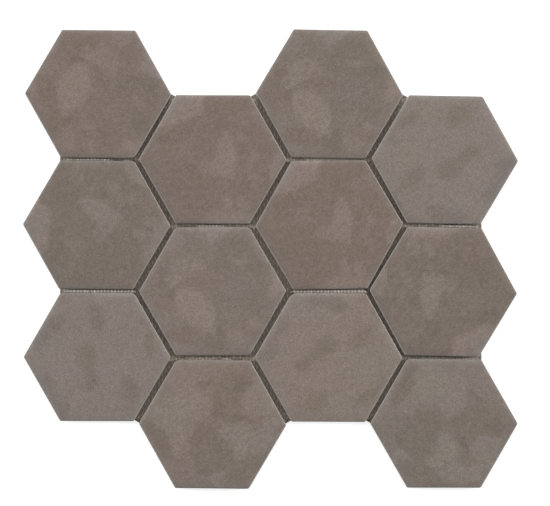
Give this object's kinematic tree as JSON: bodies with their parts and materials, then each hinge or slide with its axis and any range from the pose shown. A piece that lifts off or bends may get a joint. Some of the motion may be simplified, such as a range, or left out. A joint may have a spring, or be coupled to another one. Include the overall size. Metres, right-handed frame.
{
  "type": "mesh-mounted hexagon mosaic floor tile sheet",
  "caption": "Sheet of matt porcelain hexagon floor tiles in offset columns, held an open joint apart by a glass-fibre mesh on their backs.",
  "frame": {"origin": "on the floor, under the middle of the sheet's rectangle", "axes": "+X across the columns, from column a to column d; +Y up each column, from row 3 to row 1; +Z up, out of the walking face"},
  "size_m": [0.293, 0.2717, 0.0085],
  "materials": {
    "porcelain": "matt unglazed porcelain, warm grey-brown with soft cloudy mottling",
    "glass_mesh": "woven glass-fibre mesh stiffened with dull adhesive"
  },
  "bodies": {
    "root": {"tile_a1": "porcelain", "tile_a2": "porcelain", "tile_a3": "porcelain", "tile_b1": "porcelain", "tile_b2": "porcelain", "tile_b3": "porcelain", "tile_c1": "porcelain", "tile_c2": "porcelain", "tile_c3": "porcelain", "tile_d1": "porcelain", "tile_d2": "porcelain", "tile_d3": "porcelain", "backing_mesh": "glass_mesh"}
  },
  "joints": []
}
